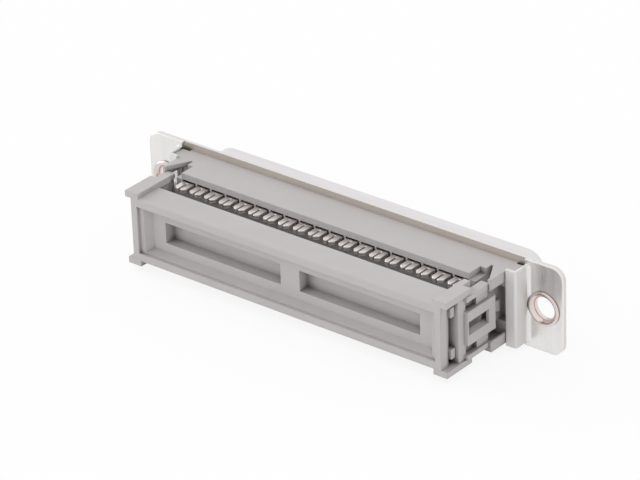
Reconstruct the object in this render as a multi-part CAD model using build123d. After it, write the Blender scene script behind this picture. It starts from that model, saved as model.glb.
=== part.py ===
from build123d import *
import math
import os

os.makedirs("parts", exist_ok=True)

# Frame: X runs along the contact rows, +Y points at the mating side, Z is up.
# The origin is the centre of the rear face of the two mounting ears.
# Lengths are millimetres.

# Contact rows
long_row = 19
short_row = 18
fork_pitch = 2.54
socket_pitch = 2.76
socket_row_gap = 2.84

# Sheet metal: front shell, end brackets and eyelets
sheet = 0.4
shroud_end_margin = 2.58
hole_from_shroud = 4.33
flange_end = 2.91
flange_height = 12.55
flange_corner = 1.7
eyelet_bore = 3.05
eyelet_wall = 0.33
eyelet_rim_diameter = 4.86
eyelet_rim = 0.34
eyelet_rim_round = 0.26
eyelet_rim_bevel = 0.12
eyelet_flare = (0.2, 0.44)
eyelet_fit = 0.03

# Front shroud, a D with its wide side up
shroud_height = 7.90
shroud_corner = 2.6
shroud_lean = 10.0
shroud_reach = 5.8
shroud_rim_round = 0.8
rim_inner_bevel = 0.23
shroud_root_bevel = 0.25
shroud_lip = 0.45
insulator_gap = 0.08
insulator_flange = 0.5
insulator_flange_margin = (0.48, 0.85)

# End brackets
bracket_to_rim = 0.12
ear_step = 0.1
bracket_lip_gap = 0.11
bracket_lip_depth = 2.6
bracket_wall_margin = 0.3
bend_round = 0.35
ear_bend = 0.6
relief = 0.5

# Housing
housing_depth = 5.6
housing_half_height = 5.25
lug_to_bracket = 0.12
lug_step = 1.23
lug_gap = 0.05
cheek_wall = 0.3
cheek_step = 1.15
channel_width = 2.1
channel_height = (2.5, 4.65)
opening_step = 0.8
end_opening_half = 3.75
notch_side = 0.5
notch_wall = 0.45
notch_shoulder = 1.1
notch_root = 0.3
notch_lead = 0.4
hook_height = 0.55
hook_half = 0.8
hook_length = 1.4
hook_crest = 0.5
hook_set_back = 0.25
hook_root = 0.2
chamber_depth = 2.1
chamber_wall = 0.25
chamber_over_fork = 0.27
chamber_side = 0.18

# Fork contacts
fork_top = 4.18
fork_thick = 0.5
fork_width = 1.9
fork_reach = 2.2
fork_nose_width = 1.04
fork_shoulder = 0.45
fork_slit = 0.26
fork_slit_depth = 1.75
fork_slit_lead = (0.14, 0.12)
fork_pocket_depth = 0.55
fork_pocket_side = 0.1
fork_pocket_drop = 0.25
fork_fit = 0.06
riser_width = 0.9
riser_overlap = 0.22
riser_gap = 0.2
riser_thick = 0.35
socket_radius = 0.7
socket_bore = 0.5
socket_bore_depth = 3.5
socket_front_cover = 0.5
socket_end_gap = 0.05
socket_entry = 0.6
barrel_sides = 8
entry_sides = 12

# Cap, at rest where it stands open
cable_gap = 0.9
press_travel = 3.2
slide_fit = 0.1
cap_depth = 4.37
cap_half_height = 4.77
cap_round = 0.3
pad_over_housing = 0.17
pad_inside = 1.25
pad_outside = 0.95
pad_gap = 0.05
tongue_width = 0.95
tongue_length = 2.35
tongue_thick = 0.97
arm_width = 0.85
post_depth = 1.56
post_height = 0.66
post_half = 4.62
tab_length = 0.94
tab_height = 0.2
tab_gap = 0.12
tab_reach = (2.3, 3.7)
groove_length = (1.64, 0.94, 0.3)
groove_depth = (0.25, 0.85)
bar_width = 1.35
bar_thick = 0.7
bar_root = 0.3
bar_entry = 0.4
web_thick = 0.7
web_length = 2.4
web_join = 0.1
leg_thick = 1.15
leg_half = 2.43
leg_entry = 1.48
window_half = 0.98
window_back = 0.2

# Rear face of the cap
frame_border = (0.98, 1.25)
frame_step = 0.45
taper_border = (0.77, 0.22)
panel_slope = (0.7, 0.42)
panel_depth = 1.6
pocket_middle = 1.6
pocket_end = 2.08
pocket_half = 1.53
pocket_depth = 1.7
fork_slot_end = 0.3
fork_slot_margin = 0.12

# Working values of the modelling itself
overcut = 1.0
overlap = 1.0
flat_tolerance = 1e-4

# Shell sizes worked out from the socket row
shroud_width = (long_row - 1) * socket_pitch + 2 * shroud_end_margin
hole_spacing = shroud_width + 2 * hole_from_shroud
flange_length = hole_spacing + 2 * flange_end
shroud_zone = (shroud_width / 2 + sheet, shroud_height / 2 + sheet)
eyelet_outer = eyelet_bore / 2 + eyelet_wall

# Places along X at one end, from the eyelet inwards
bracket_wall_x = (hole_spacing - eyelet_rim_diameter) / 2 - bracket_to_rim
lug_x = bracket_wall_x - sheet - lug_to_bracket
cheek_x = lug_x - lug_step
bracket_lip_inner = cheek_x + bracket_lip_gap
housing_half_length = cheek_x - cheek_step
channel_x = (cheek_x - cheek_wall - channel_width, cheek_x - cheek_wall)
opening_x = channel_x[0] + opening_step
cap_half_length = opening_x
pad_x = (cap_half_length - pad_inside, cap_half_length + pad_outside)
tongue_x = (pad_x[0], pad_x[0] + tongue_width)
arm_x = (channel_x[0] + slide_fit, channel_x[0] + slide_fit + arm_width)
bar_x = (channel_x[1] - slide_fit - bar_width, channel_x[1] - slide_fit)
leg_x = (opening_x + slide_fit, opening_x + slide_fit + leg_thick)
web_x = (leg_x[0], leg_x[0] + web_thick)
post_x = cap_half_length + post_height
tab_x = (cap_half_length - groove_depth[1], cap_half_length + tab_height)
hook_x = leg_x[0] + hook_height

# Places along Y
flange_rear = sheet
flange_front = 2 * sheet
shroud_rim = flange_front + shroud_reach
insulator_face = shroud_rim - sheet - insulator_gap
recess_rear = flange_rear - insulator_flange
housing_rear = -housing_depth
fork_tip = housing_rear - fork_reach
chamber_rear = flange_rear - chamber_depth
riser_rear = chamber_rear + riser_gap
socket_rear = riser_rear + riser_thick
lug_rear = -bracket_lip_depth + sheet + lug_gap
cap_front = housing_rear - cable_gap - press_travel
cap_rear = cap_front - cap_depth
pad_front = housing_rear - press_travel - pad_gap
tongue_front = cap_front + tongue_length
post_y = (cap_front - post_depth, cap_front)
tab_y = (post_y[0] - tab_length, post_y[0] - tab_gap)
bar_y = (cap_front - bar_root, housing_rear + bar_entry)
leg_y = (bar_y[0], housing_rear + leg_entry)
channel_front = bar_y[1] + press_travel + slide_fit
leg_way_front = leg_y[1] + press_travel + slide_fit
hook_front = lug_rear - hook_set_back
window_y = (bar_y[0] + window_back, hook_front + slide_fit - press_travel)

# Heights
bracket_wall_half = housing_half_height + bracket_wall_margin
pad_top = housing_half_height + pad_over_housing
tongue_under = pad_top - tongue_thick
notch_floor = tongue_under - slide_fit
arm_reach = (channel_height[0] + slide_fit, channel_height[1] - slide_fit)
bar_reach = (arm_reach[1] - bar_thick, arm_reach[1])


def block(x, y, z):
    """A box given by its (low, high) pair along each axis."""
    size = [high - low for low, high in (x, y, z)]
    centre = [(high + low) / 2 for low, high in (x, y, z)]
    return Pos(*centre) * Box(*size)


def span(half):
    return (-half, half)


def both_ends(shape):
    """The shape and its mirror image at the other end of the row."""
    return [shape, mirror(shape, about=Plane.YZ)]


def both_sides(shape):
    """The shape and its mirror image below the middle plane."""
    return [shape, mirror(shape, about=Plane.XY)]


def four_corners(shape):
    return [copy for half in both_sides(shape) for copy in both_ends(half)]


def across(y):
    """A drawing plane at depth y, with X to the right and Z up."""
    return Plane(origin=(0, y, 0), x_dir=(1, 0, 0), z_dir=(0, -1, 0))


def prism(sketch, y):
    return extrude(across(y[0]) * sketch, amount=y[1] - y[0], dir=(0, 1, 0))


def slab(outline, z):
    """A flat outline drawn in X and Y, given its (low, high) heights."""
    return extrude(Plane.XY.offset(z[0]) * outline, amount=z[1] - z[0], dir=(0, 0, 1))


def rod(x, z, radius, y):
    return prism(Pos(x, z) * Circle(radius), y)


def pin(x, z, radius, sides, y):
    """A round rod or bore with few faces, for what is repeated at every contact."""
    return prism(Pos(x, z) * RegularPolygon(radius, sides), y)


def frustum(y, near_half, far_half):
    near = across(y[0]) * Rectangle(2 * near_half[0], 2 * near_half[1])
    far = across(y[1]) * Rectangle(2 * far_half[0], 2 * far_half[1])
    return loft([near, far])


def shroud_edges(shape, y):
    """Edges of the D outline that lie whole at depth y."""
    found = []
    for edge in shape.edges():
        box = edge.bounding_box()
        flat = abs(box.min.Y - y) < flat_tolerance and abs(box.max.Y - y) < flat_tolerance
        inside_x = max(abs(box.min.X), abs(box.max.X)) < shroud_zone[0]
        inside_z = max(abs(box.min.Z), abs(box.max.Z)) < shroud_zone[1]
        if flat and inside_x and inside_z:
            found.append(edge)
    return found


def d_profile(inset):
    """The outline of the shroud, moved inwards by inset."""
    width = shroud_width - 2 * inset
    height = shroud_height - 2 * inset
    corner = shroud_corner - inset
    top_angle = math.radians(90 - shroud_lean) / 2
    top = width / 2 - corner + corner / math.tan(top_angle)
    bottom = top - height * math.tan(math.radians(shroud_lean))
    points = [(-top, height / 2), (-bottom, -height / 2), (bottom, -height / 2), (top, height / 2)]
    outline = Polygon(*points, align=None)
    return fillet(outline.vertices(), corner)


def row_places(pitch, height):
    """Centres of all contacts: the long row above, the short row below."""
    places = [((i - (long_row - 1) / 2) * pitch, height) for i in range(long_row)]
    places += [((i - (short_row - 1) / 2) * pitch, -height) for i in range(short_row)]
    return places


fork_places = row_places(fork_pitch, fork_top - fork_thick / 2)
socket_places = row_places(socket_pitch, socket_row_gap / 2)


def make_front_shell():
    plate = prism(RectangleRounded(flange_length, flange_height, flange_corner), (flange_rear, flange_front))
    outside = prism(d_profile(0), (flange_rear, shroud_rim))
    outside = fillet(shroud_edges(outside, shroud_rim), shroud_rim_round)
    shell = plate + outside
    shell = chamfer(shroud_edges(shell, flange_front), shroud_root_bevel)
    inside = prism(d_profile(sheet), (flange_rear - overcut, shroud_rim - sheet))
    inside = chamfer(shroud_edges(inside, shroud_rim - sheet), rim_inner_bevel)
    mouth = prism(d_profile(sheet + shroud_lip), (flange_rear, shroud_rim + overcut))
    holes = both_ends(rod(hole_spacing / 2, 0, eyelet_outer + eyelet_fit, (0, flange_front + overcut)))
    return shell - [inside, mouth] - holes


def make_insulator():
    boss = prism(d_profile(sheet + insulator_gap), (flange_rear, insulator_face))
    boss = chamfer(shroud_edges(boss, insulator_face), rim_inner_bevel + insulator_gap)
    half = insulator_flange_half(0)
    body = boss + block(span(half[0]), (recess_rear, flange_rear), span(half[1]))
    seat = (recess_rear, insulator_face - socket_front_cover)
    holes = []
    for x, z in socket_places:
        holes.append(pin(x, z, socket_radius + fork_fit, barrel_sides, seat))
        holes.append(pin(x, z, socket_entry, entry_sides, (seat[1], insulator_face)))
    return body - holes


def insulator_flange_half(fit):
    """Half length and half height of the insulator's flange, or of its seat."""
    return (shroud_width / 2 + insulator_flange_margin[0] + fit,
            shroud_height / 2 + insulator_flange_margin[1] + fit)


def end_notches():
    """The open V in the top of the housing that takes a tongue of the cap, and the plain one below."""
    inner = tongue_x[0] - notch_side
    outer = cheek_x - notch_wall
    front = lug_rear
    shoulder = front - notch_shoulder
    points = [
        (inner, housing_rear), (inner, shoulder), (channel_x[0], shoulder), (channel_x[0], front),
        (channel_x[0] + notch_root, front), (outer, housing_rear + notch_lead), (outer, housing_rear),
    ]
    top = slab(Polygon(*points, align=None), (notch_floor, housing_half_height + overcut))
    plain_x = (inner, tongue_x[1] + slide_fit)
    bottom = block(plain_x, (housing_rear, shoulder), (-housing_half_height - overcut, -notch_floor))
    return [top, bottom]


def make_hook():
    """The catch that stands in the window of the latch leg when the cap is home."""
    root = opening_x - hook_root
    points = [
        (root, hook_front - hook_length), (root, hook_front),
        (hook_x, hook_front), (hook_x, hook_front - hook_crest),
    ]
    return slab(Polygon(*points, align=None), span(hook_half))


def make_housing():
    depth = (housing_rear, flange_rear)
    body = block(span(housing_half_length), depth, span(housing_half_height))
    cheek = block((housing_half_length - overlap, cheek_x), depth, span(housing_half_height))
    lug = block((cheek_x - overlap, lug_x), (lug_rear, 0), span(housing_half_height))
    body += both_ends(cheek) + both_ends(lug)
    channel = block(channel_x, (housing_rear, channel_front), channel_height)
    opening = block((opening_x, lug_x), (housing_rear, lug_rear), span(end_opening_half))
    leg_way = block((opening_x, lug_x), (housing_rear, leg_way_front), span(leg_half + slide_fit))
    body -= four_corners(channel) + both_ends(opening) + both_ends(leg_way)
    body -= [copy for notch in end_notches() for copy in both_ends(notch)]
    body += both_ends(make_hook())
    return body - housing_hollows() - fork_slots()


def housing_hollows():
    """The seat of the insulator's flange and the chamber where the contacts change pitch."""
    seat_half = insulator_flange_half(fork_fit)
    chamber_y = (chamber_rear, recess_rear)
    sockets_half = socket_row_gap / 2 + socket_radius + chamber_side
    return [
        block(span(seat_half[0]), (recess_rear, flange_rear), span(seat_half[1])),
        block(span(channel_x[0] - chamber_wall), chamber_y, span(fork_top + chamber_over_fork)),
        block(span(opening_x - chamber_wall), chamber_y, span(sockets_half)),
    ]


def fork_slots():
    """A slot for each fork, with a wider pocket where it leaves the rear face."""
    half = fork_width / 2 + fork_fit
    tall = fork_thick / 2 + fork_fit
    wide = half + fork_pocket_side
    high = tall + fork_pocket_side
    pocket_y = (housing_rear, housing_rear + fork_pocket_depth)
    slots = []
    for x, z in fork_places:
        slots.append(block((x - half, x + half), (housing_rear, chamber_rear), (z - tall, z + tall)))
        slots.append(block((x - wide, x + wide), pocket_y, (z - tall - fork_pocket_drop, z + high)))
    return slots


def make_rear_recess():
    """The stepped recess in the rear face of the cap, with its two long pockets."""
    step = cap_rear + frame_step
    panel = cap_rear + panel_depth
    frame_half = (cap_half_length - frame_border[0], cap_half_height - frame_border[1])
    taper_half = [frame - border for frame, border in zip(frame_half, taper_border)]
    panel_half = [taper - slope for taper, slope in zip(taper_half, panel_slope)]
    rim = block(span(frame_half[0]), (cap_rear, step), span(frame_half[1]))
    taper = frustum((step, panel), taper_half, panel_half)
    pocket_x = (pocket_middle, panel_half[0] - pocket_end)
    pocket = block(pocket_x, (panel, panel + pocket_depth), span(pocket_half))
    return [rim, taper] + both_ends(pocket)


def cap_corner():
    """What stands at each of the four corners: pad, tongue, arm, guide bar, web and tab."""
    return [
        block(pad_x, (cap_rear, pad_front), (arm_reach[1], pad_top)),
        block(tongue_x, (cap_front, tongue_front), (tongue_under, pad_top)),
        block(arm_x, (cap_front, tongue_front), arm_reach),
        block(bar_x, bar_y, bar_reach),
        block(web_x, (bar_y[1] - web_length, bar_y[1]), (leg_half - web_join, bar_reach[0] + web_join)),
        block(tab_x, tab_y, tab_reach),
    ]


def end_groove():
    """The groove in the end of the cap that sets the post off from the wall behind it."""
    start, bend, floor = [post_y[0] - length for length in groove_length]
    shallow, deep = [cap_half_length - depth for depth in groove_depth]
    outline = Polygon(
        (cap_half_length, start), (shallow, bend), (deep, floor),
        (deep, post_y[0]), (cap_half_length, post_y[0]),
        align=None)
    return slab(outline, span(post_half))


def make_cap():
    bar = block(span(cap_half_length), (cap_rear, cap_front), span(cap_half_height))
    cap = fillet(bar.edges().filter_by(Axis.X), cap_round)
    cap -= make_rear_recess() + both_ends(end_groove())
    cap += [copy for piece in cap_corner() for copy in four_corners(piece)]
    post = block((cap_half_length, post_x), post_y, span(post_half))
    leg = block(leg_x, leg_y, span(leg_half))
    cap += both_ends(post) + both_ends(leg)
    window = block(leg_x, window_y, span(window_half))
    hook_way = block((leg_x[0], hook_x + slide_fit), (window_y[1], leg_y[1]), span(hook_half + slide_fit))
    cap -= both_ends(window) + both_ends(hook_way)
    half = fork_width / 2 + fork_slot_margin
    tall = fork_thick / 2 + fork_slot_margin
    slot_y = (cap_front - (fork_reach - cable_gap) - fork_slot_end, cap_front)
    return cap - [block((x - half, x + half), slot_y, (z - tall, z + tall)) for x, z in fork_places]


def make_bracket():
    """The right-hand bracket: an ear, a wall that runs back and a lip that hooks in."""
    wall_inner = bracket_wall_x - sheet
    ear_inner = wall_inner - ear_step
    past_ear = (-overcut, sheet + overcut)
    ear = prism(RectangleRounded(flange_length, flange_height, flange_corner), (0, sheet))
    ear -= block((-flange_length, ear_inner), past_ear, span(flange_height))
    ear -= block((ear_inner - overcut, wall_inner), past_ear, span(bracket_wall_half + relief))
    lip_y = (-bracket_lip_depth, sheet - bracket_lip_depth)
    profile = Polygon(
        (bracket_lip_inner, lip_y[0]), (bracket_wall_x, lip_y[0]), (bracket_wall_x, sheet),
        (wall_inner, sheet), (wall_inner, lip_y[1]), (bracket_lip_inner, lip_y[1]),
        align=None)
    strip = slab(profile, span(bracket_wall_half))
    outer_edges = strip.edges().filter_by(Axis.Z).group_by(Axis.X)[-1]
    strip = fillet(outer_edges.sort_by(Axis.Y)[0], bend_round)
    corner = block((bracket_wall_x, bracket_wall_x + ear_bend), (-ear_bend, 0), span(bracket_wall_half))
    corner -= Pos(bracket_wall_x + ear_bend, -ear_bend) * Cylinder(ear_bend, 2 * flange_height)
    corner -= rod(hole_spacing / 2, 0, eyelet_rim_diameter / 2 + eyelet_fit, (-overcut, 0))
    hole = rod(hole_spacing / 2, 0, eyelet_outer + eyelet_fit, past_ear)
    return ear + strip + corner - hole


def make_eyelet():
    """A rolled eyelet through the ear and the front flange, flared at its rear."""
    bore = eyelet_bore / 2
    rim = eyelet_rim_diameter / 2
    front = flange_front + eyelet_rim
    # The rim is rounded in two steps that meet on the arc at 45 degrees.
    turn = eyelet_rim_round * (1 - math.cos(math.pi / 4))
    profile = Polygon(
        (bore, eyelet_flare[1] - eyelet_rim), (bore + eyelet_flare[0], eyelet_rim_bevel - eyelet_rim),
        (bore + eyelet_flare[0] + eyelet_rim_bevel, -eyelet_rim), (rim - eyelet_rim_round, -eyelet_rim),
        (rim - turn, turn - eyelet_rim), (rim, eyelet_rim_round - eyelet_rim), (rim, 0),
        (eyelet_outer, 0), (eyelet_outer, flange_front), (rim, flange_front), (rim, front), (bore, front),
        align=None)
    return Pos(hole_spacing / 2, 0, 0) * revolve(profile, axis=Axis.Y, revolution_arc=360)


def make_fork(x, z):
    """Two pointed prongs with a slit between them, in a plane parallel to the row."""
    half = fork_width / 2
    nose = fork_nose_width / 2
    slit = fork_slit / 2
    slit_end = fork_tip + fork_slit_depth
    prong = Polygon(
        (slit, fork_tip + fork_slit_lead[1]), (slit + fork_slit_lead[0], fork_tip), (nose, fork_tip),
        (half, fork_tip + fork_shoulder), (half, socket_rear), (0, socket_rear),
        (0, slit_end), (slit, slit_end),
        align=None)
    outline = prong + mirror(prong, about=Plane.YZ)
    return slab(Pos(x, 0) * outline, (z - fork_thick / 2, z + fork_thick / 2))


def make_riser(fork, socket):
    """The plate inside the housing that leads from a fork to its socket."""
    low, high = sorted([fork, socket], key=lambda place: place[1])
    half = riser_width / 2
    bottom = low[1] - riser_overlap
    top = high[1] + riser_overlap
    outline = Polygon(
        (low[0] - half, bottom), (low[0] + half, bottom), (high[0] + half, top), (high[0] - half, top),
        align=None)
    return prism(outline, (riser_rear, socket_rear))


def make_contact(fork, socket):
    front = insulator_face - socket_front_cover - socket_end_gap
    barrel = pin(*socket, socket_radius, barrel_sides, (socket_rear, front))
    barrel -= pin(*socket, socket_bore, barrel_sides, (front - socket_bore_depth, front))
    return make_fork(*fork) + make_riser(fork, socket) + barrel


def main():
    nodes = {
        "front_shell": make_front_shell(),
        "front_insulator": make_insulator(),
        "housing": make_housing(),
        "cap": make_cap(),
    }
    for name, shape in (("bracket", make_bracket()), ("eyelet", make_eyelet())):
        nodes["right_" + name], nodes["left_" + name] = both_ends(shape)
    for number, (fork, socket) in enumerate(zip(fork_places, socket_places), 1):
        nodes[f"contact_{number:02d}"] = make_contact(fork, socket)
    for name, shape in nodes.items():
        export_step(shape, f"parts/{name}.step")


main()
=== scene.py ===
import math
import bpy
from mathutils import Matrix, Vector


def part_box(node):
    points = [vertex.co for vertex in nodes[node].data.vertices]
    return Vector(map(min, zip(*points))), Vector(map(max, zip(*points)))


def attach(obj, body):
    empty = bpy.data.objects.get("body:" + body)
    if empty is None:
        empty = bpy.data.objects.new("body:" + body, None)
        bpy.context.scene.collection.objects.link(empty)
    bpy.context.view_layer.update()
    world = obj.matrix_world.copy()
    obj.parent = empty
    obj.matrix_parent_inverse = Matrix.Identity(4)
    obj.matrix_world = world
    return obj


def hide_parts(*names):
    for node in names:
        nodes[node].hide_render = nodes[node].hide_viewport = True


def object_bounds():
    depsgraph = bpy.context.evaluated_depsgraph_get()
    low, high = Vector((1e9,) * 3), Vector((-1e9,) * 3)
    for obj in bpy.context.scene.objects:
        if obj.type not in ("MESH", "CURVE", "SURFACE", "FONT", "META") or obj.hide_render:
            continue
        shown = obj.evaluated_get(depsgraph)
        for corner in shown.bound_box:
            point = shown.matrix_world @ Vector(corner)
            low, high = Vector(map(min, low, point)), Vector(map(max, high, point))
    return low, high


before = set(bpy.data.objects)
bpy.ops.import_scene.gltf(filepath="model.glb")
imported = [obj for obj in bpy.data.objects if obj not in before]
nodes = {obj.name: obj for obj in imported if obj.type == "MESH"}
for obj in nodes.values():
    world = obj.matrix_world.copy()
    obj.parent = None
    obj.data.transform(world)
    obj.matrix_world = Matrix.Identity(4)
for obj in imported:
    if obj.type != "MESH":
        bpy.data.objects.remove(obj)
cad_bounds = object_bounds()

# Lengths are metres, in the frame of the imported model
MM = 0.001

# Camera, as fitted to the photograph
CAMERA_AZIMUTH = 39.098
CAMERA_ELEVATION = 28.359
CAMERA_ROLL = -1.727
CAMERA_DISTANCE = 520.814 * MM
CAMERA_TARGET = Vector((2.046, 0, -1.291)) * MM
CAMERA_LENS = 221.74
CAMERA_SHIFT = (-0.0655, 0.0212)
SENSOR_WIDTH = 36
CLIP_RANGE = (0.01, 10)

# Light and stage
WORLD_LEVEL = 0.85
KEY_LEVEL = 1.1
KEY_ANGLE = 40
KEY_FROM = Vector((-0.95, -0.10, 0.35))
FLOOR_HALF = 2.0
FLOOR_COLOUR = (0.97, 0.97, 0.97, 1)
FLOOR_WHITE_SHARE = 0.88

# The flange is darker and yellowish on its rear face, which ends a little in front of this depth
FLANGE_REAR = 0.4 * MM
DEPTH_FADE = 0.1 * MM
REAR_FACE_TINT = (0.70, 0.655, 0.585, 1)

# The bracket is satin on the wall and lip that run back from its ear
BRACKET_EAR_REAR = -0.5 * MM
SATIN = (0.82, 0.805, 0.79, 1)
SATIN_METALLIC = 0.35
SATIN_ROUGHNESS = 0.6

# Painted shade in narrow gaps: how far they are felt, how open they are where darkest and where untouched,
# and the share of the colour left at their bottom
GAP_REACH = 2.2 * MM
GAP_SAMPLES = 8
GAP_SHARE = (0.13, 0.64)
GAP_SHADE_COLOUR = 0.10

# Surface detail: how fine the mottle and the gloss wander, and how strong the grain and the painted edge
# highlight are
MOTTLE_SCALE = 160.0
STRETCHED_MOTTLE_SCALE = 800.0
GLOSS_SCALE = 700.0
GRAIN_STRENGTH = 0.5
EDGE_HIGHLIGHT_FACTOR = 1.25

# Most of the noise lies in this range
NOISE_RANGE = (0.3, 0.7)

# The soft normal leaves the true one by this much at the start and at the top of an edge, as a cosine
EDGE_COSINES = (0.99, 0.80)

# Section of the rolled eyelet as radius and depth in millimetres, round its axis
EYELET_SECTION = [
    (1.855, 0.00), (2.38, 0.00), (2.43, -0.10), (2.37, -0.25), (2.22, -0.335), (2.02, -0.33), (1.84, -0.23),
    (1.65, -0.02), (1.545, 0.25), (1.525, 0.50), (1.60, 0.80), (1.77, 1.02), (2.00, 1.13), (2.20, 1.135),
    (2.36, 1.06), (2.43, 0.90), (2.38, 0.80), (1.855, 0.80),
]
EYELET_STEPS = 72

# Edge rounding of the contacts
CONTACT_ROUND = 0.13 * MM
CONTACT_SEGMENTS = 3
SHARP_ANGLE = 38
WELD_DISTANCE = 0.0005 * MM


def add(tree, kind, **values):
    """A new shader node, with its sockets or properties set."""
    node = tree.nodes.new(kind)
    for name, value in values.items():
        socket = name.replace("_", " ").title()
        if socket in node.inputs:
            node.inputs[socket].default_value = value
        else:
            setattr(node, name, value)
    return node


def noise(tree, scale, detail=3.0, stretch=None):
    """Noise in the object's own coordinates, stretched along an axis if wanted."""
    place = add(tree, "ShaderNodeTexCoord").outputs["Object"]
    if stretch:
        mapping = add(tree, "ShaderNodeMapping", scale=stretch)
        tree.links.new(place, mapping.inputs["Vector"])
        place = mapping.outputs["Vector"]
    texture = add(tree, "ShaderNodeTexNoise", scale=scale, detail=detail)
    tree.links.new(place, texture.inputs["Vector"])
    return texture.outputs["Fac"]


def remap(tree, source, low, high, start=NOISE_RANGE[0], end=NOISE_RANGE[1]):
    """The source's start to end as low to high, held at both ends."""
    node = add(tree, "ShaderNodeMapRange")
    node.inputs["From Min"].default_value = start
    node.inputs["From Max"].default_value = end
    node.inputs["To Min"].default_value = low
    node.inputs["To Max"].default_value = high
    tree.links.new(source, node.inputs["Value"])
    return node.outputs["Result"]


def blend(tree, factor, first, second):
    """Mix of two colours, each a colour or an output."""
    node = add(tree, "ShaderNodeMix", data_type="RGBA")
    for value, socket in ((first, node.inputs["A"]), (second, node.inputs["B"])):
        socket = [s for s in node.inputs if s.name == socket.name and s.type == "RGBA"][0]
        if isinstance(value, bpy.types.NodeSocket):
            tree.links.new(value, socket)
        else:
            socket.default_value = value
    tree.links.new(factor, node.inputs["Factor"])
    return [s for s in node.outputs if s.type == "RGBA"][0]


def edge_highlight_mask(tree, soft_normal):
    """Mask of the painted edge highlight: high where the surface turns an outer or inner edge."""
    geometry = add(tree, "ShaderNodeNewGeometry")
    dot = add(tree, "ShaderNodeVectorMath", operation="DOT_PRODUCT")
    tree.links.new(soft_normal, dot.inputs[0])
    tree.links.new(geometry.outputs["Normal"], dot.inputs[1])
    return remap(tree, dot.outputs["Value"], 0.0, 1.0, *EDGE_COSINES)


def shade(colour, factor):
    """The colour made lighter or darker."""
    return tuple(min(1.0, channel * factor) for channel in colour[:3]) + (1,)


def depth_mask(tree, edge):
    """1 behind the depth edge and 0 in front of it."""
    split = add(tree, "ShaderNodeSeparateXYZ")
    tree.links.new(add(tree, "ShaderNodeTexCoord").outputs["Object"], split.inputs["Vector"])
    return remap(tree, split.outputs["Y"], 1.0, 0.0, edge, edge + DEPTH_FADE)


def paint_gap_shade(material):
    """Painted shade: the colour is darkened in a narrow gap, where little light comes back out."""
    tree = material.node_tree
    shader = tree.nodes["Principled BSDF"]
    colour = shader.inputs["Base Color"].links[0].from_socket
    openness = add(tree, "ShaderNodeAmbientOcclusion", distance=GAP_REACH, samples=GAP_SAMPLES)
    share = remap(tree, openness.outputs["AO"], 1.0, 0.0, *GAP_SHARE)
    dark = add(tree, "ShaderNodeVectorMath", operation="SCALE", scale=GAP_SHADE_COLOUR)
    tree.links.new(colour, dark.inputs[0])
    tree.links.new(blend(tree, share, colour, dark.outputs["Vector"]), shader.inputs["Base Color"])


def make_material(name, colour, metallic, roughness, vary, grain, edge_highlight, stretch=None):
    """A surface with mottled colour, uneven gloss, fine grain and a painted edge highlight of lighter colour
    along its edges.

    vary is how much the colour wanders, grain is (scale, depth) and edge_highlight is (radius, share): the
    radius of the soft edge normal and the share of the painted edge highlight."""
    material = bpy.data.materials.new(name)
    material.use_nodes = True
    tree = material.node_tree
    shader = tree.nodes["Principled BSDF"]
    shader.inputs["Metallic"].default_value = metallic
    mottle_scale = STRETCHED_MOTTLE_SCALE if stretch else MOTTLE_SCALE
    mottle = remap(tree, noise(tree, mottle_scale, stretch=stretch), 0.0, 1.0)
    base = blend(tree, mottle, shade(colour, 1 - vary), shade(colour, 1 + vary))
    soft_normal = add(tree, "ShaderNodeBevel", radius=edge_highlight[0]).outputs["Normal"]
    edges = edge_highlight_mask(tree, soft_normal)
    share = remap(tree, edges, 0.0, edge_highlight[1], start=0.0, end=1.0)
    # Painted edge highlight: the colour is made lighter along outer and inner edges
    highlighted_edges = blend(tree, share, base, shade(colour, EDGE_HIGHLIGHT_FACTOR))
    tree.links.new(highlighted_edges, shader.inputs["Base Color"])
    gloss = remap(tree, noise(tree, GLOSS_SCALE, stretch=stretch), roughness[0], roughness[1])
    tree.links.new(gloss, shader.inputs["Roughness"])
    bump = add(tree, "ShaderNodeBump", strength=GRAIN_STRENGTH, distance=grain[1])
    tree.links.new(noise(tree, grain[0], 2.0, stretch), bump.inputs["Height"])
    tree.links.new(soft_normal, bump.inputs["Normal"])
    tree.links.new(bump.outputs["Normal"], shader.inputs["Normal"])
    return material


def tint_flange_rear_face(material):
    """Darker, yellowish colour on the rear face of the flange."""
    tree = material.node_tree
    shader = tree.nodes["Principled BSDF"]
    clean = shader.inputs["Base Color"].links[0].from_socket
    rear = depth_mask(tree, FLANGE_REAR)
    tree.links.new(blend(tree, rear, clean, REAR_FACE_TINT), shader.inputs["Base Color"])


def satin_wall(material):
    """A duller finish on the bent part of the bracket than on its ear."""
    tree = material.node_tree
    shader = tree.nodes["Principled BSDF"]
    wall = depth_mask(tree, BRACKET_EAR_REAR)
    ear = shader.inputs["Base Color"].links[0].from_socket
    tree.links.new(blend(tree, wall, ear, SATIN), shader.inputs["Base Color"])
    metallic = remap(tree, wall, shader.inputs["Metallic"].default_value, SATIN_METALLIC, start=0.0, end=1.0)
    tree.links.new(metallic, shader.inputs["Metallic"])
    gloss = shader.inputs["Roughness"].links[0].from_socket
    rough = add(tree, "ShaderNodeMix", data_type="FLOAT")
    tree.links.new(wall, rough.inputs["Factor"])
    tree.links.new(gloss, rough.inputs[2])
    rough.inputs[3].default_value = SATIN_ROUGHNESS
    tree.links.new(rough.outputs[0], shader.inputs["Roughness"])


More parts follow.
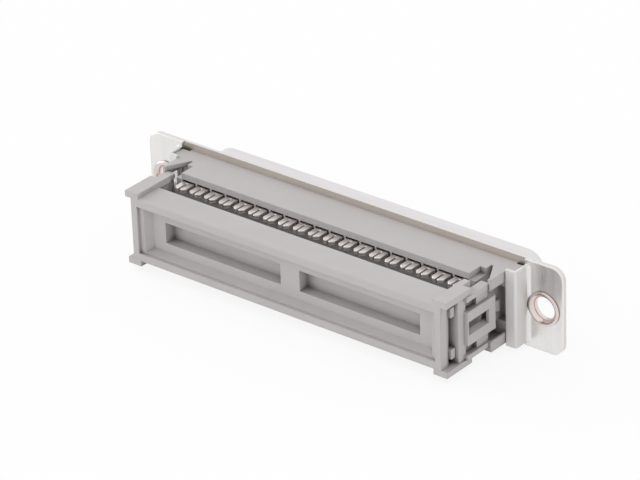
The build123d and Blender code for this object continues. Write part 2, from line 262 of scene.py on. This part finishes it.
def make_materials():
    brushed = (0.15, 1.0, 1.0)
    drawn = (1.0, 1.0, 0.12)
    materials = {
        "housing_plastic": make_material(
            "housing_plastic", (0.524, 0.496, 0.496), 0, (0.44, 0.56), 0.025,
            (5200.0, 0.010 * MM), (0.12 * MM, 0.35)),
        "cap_plastic": make_material(
            "cap_plastic", (0.536, 0.506, 0.507), 0, (0.42, 0.54), 0.025,
            (5200.0, 0.010 * MM), (0.12 * MM, 0.35)),
        "insulator_plastic": make_material(
            "insulator_plastic", (0.030, 0.030, 0.032), 0, (0.40, 0.52), 0.05,
            (5200.0, 0.010 * MM), (0.10 * MM, 0.30)),
        "shell_metal": make_material(
            "shell_metal", (0.76, 0.735, 0.74), 1, (0.36, 0.46), 0.03,
            (2600.0, 0.004 * MM), (0.10 * MM, 0.50), brushed),
        "bracket_metal": make_material(
            "bracket_metal", (0.82, 0.805, 0.79), 1, (0.24, 0.34), 0.03,
            (1500.0, 0.004 * MM), (0.20 * MM, 0.30), drawn),
        "eyelet_metal": make_material(
            "eyelet_metal", (0.72, 0.635, 0.605), 1, (0.06, 0.14), 0.06,
            (900.0, 0.010 * MM), (0.10 * MM, 0.10)),
        "contact_metal": make_material(
            "contact_metal", (0.78, 0.73, 0.705), 1, (0.26, 0.38), 0.05,
            (3200.0, 0.005 * MM), (0.24 * MM, 0.0)),
    }
    tint_flange_rear_face(materials["shell_metal"])
    satin_wall(materials["bracket_metal"])
    # Painted shade in the narrow gaps of these materials
    for slot in ("housing_plastic", "cap_plastic", "eyelet_metal"):
        paint_gap_shade(materials[slot])
    return materials


def material_of(node):
    """The material slot that a CAD node takes, by its name."""
    if node.startswith("contact_"):
        return "contact_metal"
    if node.endswith("_bracket"):
        return "bracket_metal"
    if node.endswith("_eyelet"):
        return "eyelet_metal"
    return {
        "housing": "housing_plastic",
        "cap": "cap_plastic",
        "front_insulator": "insulator_plastic",
        "front_shell": "shell_metal",
    }[node]


def round_edges(piece, width, segments):
    """Weld the imported facets and round the sharp edges."""
    weld = piece.modifiers.new("weld", "WELD")
    weld.merge_threshold = WELD_DISTANCE
    bevel = piece.modifiers.new("bevel", "BEVEL")
    bevel.width = width
    bevel.segments = segments
    bevel.limit_method = "ANGLE"
    bevel.angle_limit = math.radians(SHARP_ANGLE)
    bevel.harden_normals = True


def dress_nodes(materials):
    """Each CAD node gets its material, and the contacts get round edges."""
    for name, piece in nodes.items():
        slot = material_of(name)
        piece.data.materials.clear()
        piece.data.materials.append(materials[slot])
        if slot == "contact_metal":
            round_edges(piece, CONTACT_ROUND, CONTACT_SEGMENTS)


def make_rolled_eyelet(side, material):
    """The rolled eyelet in place of the plain one of the frame, with its flared mouth."""
    node = side + "_eyelet"
    low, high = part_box(node)
    centre_x, centre_z = (low[0] + high[0]) / 2, (low[2] + high[2]) / 2
    points = []
    for step in range(EYELET_STEPS):
        angle = 2 * math.pi * step / EYELET_STEPS
        for radius, depth in EYELET_SECTION:
            across, up = radius * MM * math.cos(angle), radius * MM * math.sin(angle)
            points.append((centre_x + across, depth * MM, centre_z + up))
    count = len(EYELET_SECTION)
    faces = []
    for step in range(EYELET_STEPS):
        here, there = step * count, (step + 1) % EYELET_STEPS * count
        for i in range(count):
            j = (i + 1) % count
            faces.append((here + i, here + j, there + j, there + i))
    mesh = bpy.data.meshes.new(node + "_rolled")
    mesh.from_pydata(points, [], faces)
    mesh.shade_smooth()
    mesh.materials.append(material)
    piece = bpy.data.objects.new(node + "_rolled", mesh)
    bpy.context.scene.collection.objects.link(piece)
    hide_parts(node)
    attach(piece, "connector")


def white_ray_share(tree, share):
    """share for camera, glossy and transmission rays, and nothing for the rest."""
    path = add(tree, "ShaderNodeLightPath")
    total = path.outputs["Is Camera Ray"]
    for kind in ("Is Glossy Ray", "Is Transmission Ray"):
        step = add(tree, "ShaderNodeMath", operation="MAXIMUM")
        tree.links.new(total, step.inputs[0])
        tree.links.new(path.outputs[kind], step.inputs[1])
        total = step.outputs["Value"]
    return remap(tree, total, 0.0, share, start=0.0, end=1.0)


def make_floor():
    """A pale floor at the object's lowest point, white to the camera but with the object's shadow."""
    height = cad_bounds[0].z
    corners = [(-1, -1), (1, -1), (1, 1), (-1, 1)]
    mesh = bpy.data.meshes.new("floor")
    mesh.from_pydata([(x * FLOOR_HALF, y * FLOOR_HALF, height) for x, y in corners], [], [(0, 1, 2, 3)])
    floor = bpy.data.objects.new("floor", mesh)
    bpy.context.scene.collection.objects.link(floor)
    material = bpy.data.materials.new("floor")
    material.use_nodes = True
    tree = material.node_tree
    tree.nodes.clear()
    diffuse = add(tree, "ShaderNodeBsdfDiffuse", color=FLOOR_COLOUR)
    white = add(tree, "ShaderNodeEmission", strength=1.0)
    mix = add(tree, "ShaderNodeMixShader")
    tree.links.new(white_ray_share(tree, FLOOR_WHITE_SHARE), mix.inputs[0])
    tree.links.new(diffuse.outputs[0], mix.inputs[1])
    tree.links.new(white.outputs[0], mix.inputs[2])
    output = add(tree, "ShaderNodeOutputMaterial")
    tree.links.new(mix.outputs[0], output.inputs["Surface"])
    mesh.materials.append(material)


def make_world():
    """Even white light at a plain level, seen as plain white."""
    world = bpy.data.worlds.new("studio")
    bpy.context.scene.world = world
    world.use_nodes = True
    tree = world.node_tree
    tree.nodes.clear()
    light = add(tree, "ShaderNodeBackground", strength=WORLD_LEVEL)
    white = add(tree, "ShaderNodeBackground", strength=1.0)
    for node in (light, white):
        node.inputs["Color"].default_value = (1, 1, 1, 1)
    mix = add(tree, "ShaderNodeMixShader")
    tree.links.new(white_ray_share(tree, 1.0), mix.inputs[0])
    tree.links.new(light.outputs[0], mix.inputs[1])
    tree.links.new(white.outputs[0], mix.inputs[2])
    output = add(tree, "ShaderNodeOutputWorld")
    tree.links.new(mix.outputs[0], output.inputs["Surface"])


def make_key_light():
    lamp = bpy.data.lights.new("key", "SUN")
    lamp.energy = KEY_LEVEL
    lamp.angle = math.radians(KEY_ANGLE)
    key = bpy.data.objects.new("key", lamp)
    key.rotation_mode = "QUATERNION"
    key.rotation_quaternion = KEY_FROM.to_track_quat("Z", "Y")
    bpy.context.scene.collection.objects.link(key)


def make_camera():
    azimuth, elevation, roll = (math.radians(a) for a in (CAMERA_AZIMUTH, CAMERA_ELEVATION, CAMERA_ROLL))
    level_share = math.cos(elevation)
    forward = Vector((-math.sin(azimuth) * level_share, math.cos(azimuth) * level_share, -math.sin(elevation)))
    level = Vector((math.cos(azimuth), math.sin(azimuth), 0))
    above = level.cross(forward)
    side = math.cos(roll) * level + math.sin(roll) * above
    top = math.cos(roll) * above - math.sin(roll) * level
    data = bpy.data.cameras.new("camera")
    data.lens = CAMERA_LENS
    data.sensor_width = SENSOR_WIDTH
    data.shift_x, data.shift_y = CAMERA_SHIFT
    data.clip_start, data.clip_end = CLIP_RANGE
    camera = bpy.data.objects.new("camera", data)
    turn = Matrix((side, top, -forward)).transposed().to_4x4()
    camera.matrix_world = Matrix.Translation(CAMERA_TARGET - forward * CAMERA_DISTANCE) @ turn
    bpy.context.scene.collection.objects.link(camera)
    bpy.context.scene.camera = camera


bpy.context.scene.view_settings.view_transform = "Standard"
make_camera()
make_world()
make_key_light()
make_floor()
materials = make_materials()
dress_nodes(materials)
for side in ("left", "right"):
    make_rolled_eyelet(side, materials["eyelet_metal"])
